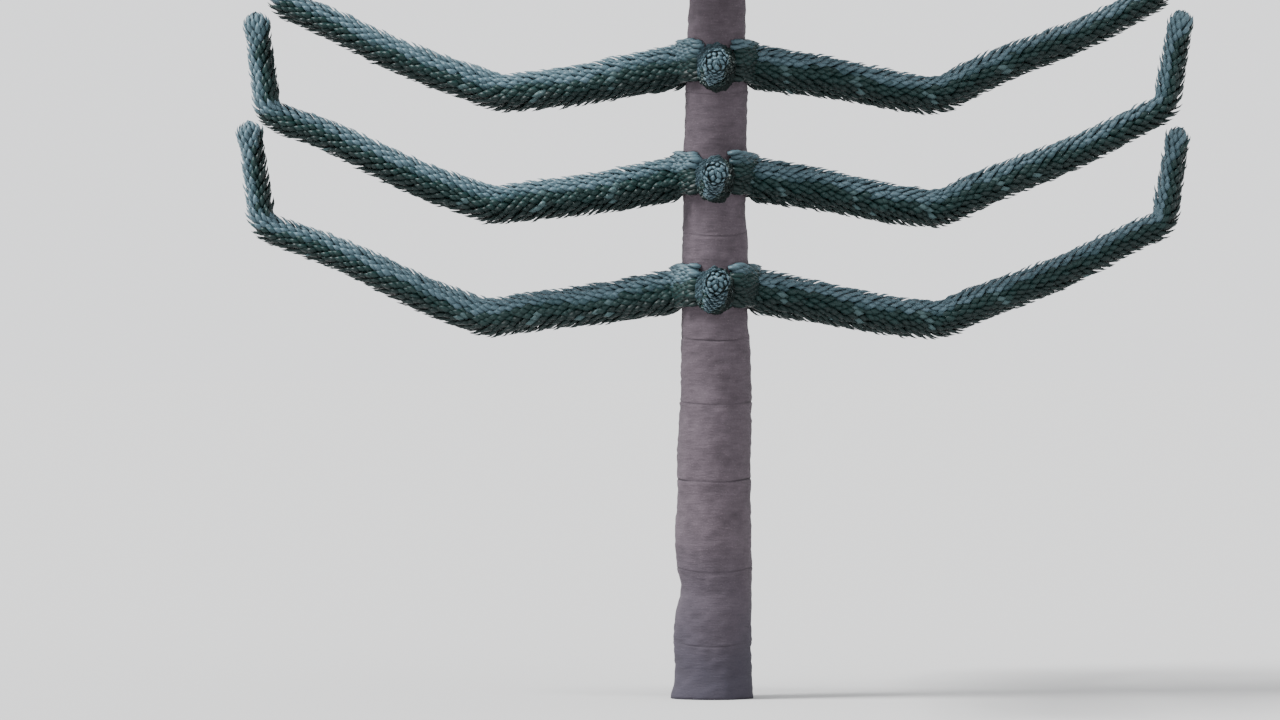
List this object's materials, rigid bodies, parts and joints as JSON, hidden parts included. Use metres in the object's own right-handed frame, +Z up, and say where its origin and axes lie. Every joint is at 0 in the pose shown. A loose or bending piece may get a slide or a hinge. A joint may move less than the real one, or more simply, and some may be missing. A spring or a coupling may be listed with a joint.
{
  "type": "monkey puzzle tree",
  "caption": "Whole young monkey puzzle tree: ringed grey trunk, tiers of long rope-like limbs clad in stiff scale leaves, each turned up at its end, and a narrow leafy top.",
  "frame": {"origin": "middle of the flat cut under the trunk, at ground level", "axes": "+Z up along the trunk to the leader; +X to the right and -Y to the viewer as the picture shows the tree"},
  "size_m": [3.0053, 3.1059, 7.75],
  "materials": {
    "bark": "rough grey bark with rings",
    "boughs": "woody limb clad in old leaves",
    "leaves": "stiff dark green leaves"
  },
  "bodies": {
    "root": {"arm_4_1": "leaves", "arm_4_2": "leaves", "arm_4_3": "leaves", "arm_4_4": "leaves", "arm_4_5": "leaves", "arm_5_1": "leaves", "arm_5_2": "leaves", "arm_5_3": "leaves", "arm_5_4": "leaves", "arm_5_5": "leaves", "arm_6_1": "leaves", "arm_6_2": "leaves", "arm_6_3": "leaves", "arm_6_4": "leaves", "arm_6_5": "leaves", "arm_7_1": "leaves", "arm_7_2": "leaves", "arm_7_3": "leaves", "arm_7_4": "leaves", "arm_7_5": "leaves", "bough_1_back": "boughs", "bough_1_front": "boughs", "bough_1_left": "boughs", "bough_1_right": "boughs", "bough_2_back": "boughs", "bough_2_front": "boughs", "bough_2_left": "boughs", "bough_2_right": "boughs", "bough_3_back": "boughs", "bough_3_front": "boughs", "bough_3_left": "boughs", "bough_3_right": "boughs", "leader": "leaves", "tail_1_back": "leaves", "tail_1_front": "leaves", "tail_1_left": "leaves", "tail_1_right": "leaves", "tail_2_back": "leaves", "tail_2_front": "leaves", "tail_2_left": "leaves", "tail_2_right": "leaves", "tail_3_back": "leaves", "tail_3_front": "leaves", "tail_3_left": "leaves", "tail_3_right": "leaves", "trunk": "bark", "whorl_10": "leaves", "whorl_11": "leaves", "whorl_12": "leaves", "whorl_13": "leaves", "whorl_14": "leaves", "whorl_15": "leaves", "whorl_16": "leaves", "whorl_17": "leaves", "whorl_8": "leaves", "whorl_9": "leaves"}
  },
  "joints": []
}
